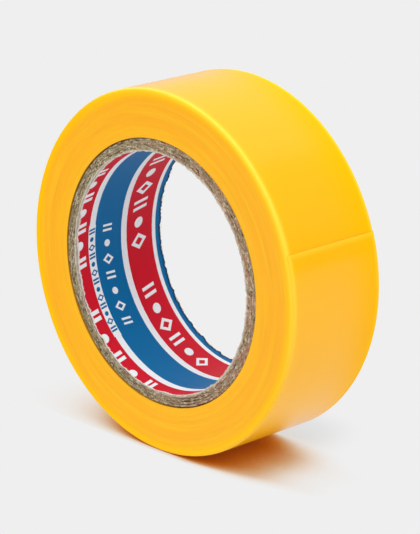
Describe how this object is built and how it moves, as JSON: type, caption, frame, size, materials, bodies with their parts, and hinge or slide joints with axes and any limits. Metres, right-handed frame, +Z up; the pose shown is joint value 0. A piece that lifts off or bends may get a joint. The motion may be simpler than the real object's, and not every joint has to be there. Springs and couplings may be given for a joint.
{
  "type": "electrical tape roll",
  "caption": "Roll of yellow PVC electrical tape, film and adhesive wound in one spiral on a chipboard core with a printed paper liner; its free end peels off the roll.",
  "frame": {"origin": "middle of the bore, on the axis of the roll, halfway between its two sides", "axes": "+Y along the axis of the roll, away from the side that is seen first; +Z up with the roll standing on its tread; +X to the right, towards the side that the free end is on"},
  "size_m": [0.0586, 0.019, 0.0585],
  "materials": {
    "printed_paper": "satin printed paper in red, white and blue bands",
    "chipboard": "rough grey-brown chipboard, fibrous where it is cut",
    "pvc_film": "smooth glossy yellow PVC, slightly translucent",
    "adhesive": "tacky, clear to pale yellow pressure-sensitive rubber adhesive"
  },
  "bodies": {
    "roll": {"printed_liner": "printed_paper", "core_ply_1": "chipboard", "core_ply_2": "chipboard", "core_ply_3": "chipboard", "core_ply_4": "chipboard", "wound_film": "pvc_film", "wound_adhesive": "adhesive", "outer_turn_film": "pvc_film", "outer_turn_adhesive": "adhesive"},
    "end_link_1": {"end_film_1": "pvc_film", "end_adhesive_1": "adhesive"},
    "end_link_2": {"end_film_2": "pvc_film", "end_adhesive_2": "adhesive"},
    "end_link_3": {"end_film_3": "pvc_film", "end_adhesive_3": "adhesive"},
    "end_link_4": {"end_film_4": "pvc_film", "end_adhesive_4": "adhesive"},
    "end_link_5": {"end_film_5": "pvc_film", "end_adhesive_5": "adhesive"},
    "end_link_6": {"end_film_6": "pvc_film", "end_adhesive_6": "adhesive"},
    "end_link_7": {"end_film_7": "pvc_film", "end_adhesive_7": "adhesive"},
    "end_link_8": {"end_film_8": "pvc_film", "end_adhesive_8": "adhesive"}
  },
  "joints": [
    {"name": "peel_1", "type": "hinge", "parent": "roll", "child": "end_link_1", "pos_m": [0.01379, 0, -0.02588], "axis": [0, 1, 0], "range_deg": [0, 14]},
    {"name": "peel_2", "type": "hinge", "parent": "end_link_1", "child": "end_link_2", "pos_m": [0.01808, 0, -0.02309], "axis": [0, 1, 0], "range_deg": [0, 14]},
    {"name": "peel_3", "type": "hinge", "parent": "end_link_2", "child": "end_link_3", "pos_m": [0.02182, 0, -0.01961], "axis": [0, 1, 0], "range_deg": [0, 14]},
    {"name": "peel_4", "type": "hinge", "parent": "end_link_3", "child": "end_link_4", "pos_m": [0.02489, 0, -0.01553], "axis": [0, 1, 0], "range_deg": [0, 14]},
    {"name": "peel_5", "type": "hinge", "parent": "end_link_4", "child": "end_link_5", "pos_m": [0.02721, 0, -0.01097], "axis": [0, 1, 0], "range_deg": [0, 14]},
    {"name": "peel_6", "type": "hinge", "parent": "end_link_5", "child": "end_link_6", "pos_m": [0.02871, 0, -0.00609], "axis": [0, 1, 0], "range_deg": [0, 14]},
    {"name": "peel_7", "type": "hinge", "parent": "end_link_6", "child": "end_link_7", "pos_m": [0.02933, 0, -0.00101], "axis": [0, 1, 0], "range_deg": [0, 14]},
    {"name": "peel_8", "type": "hinge", "parent": "end_link_7", "child": "end_link_8", "pos_m": [0.02906, 0, 0.00409], "axis": [0, 1, 0], "range_deg": [0, 14]}
  ],
  "couplings": [
    {"joint": "peel_2", "follows": "peel_1", "ratio": 1},
    {"joint": "peel_3", "follows": "peel_1", "ratio": 1},
    {"joint": "peel_4", "follows": "peel_1", "ratio": 1},
    {"joint": "peel_5", "follows": "peel_1", "ratio": 1},
    {"joint": "peel_6", "follows": "peel_1", "ratio": 1},
    {"joint": "peel_7", "follows": "peel_1", "ratio": 1},
    {"joint": "peel_8", "follows": "peel_1", "ratio": 1}
  ]
}
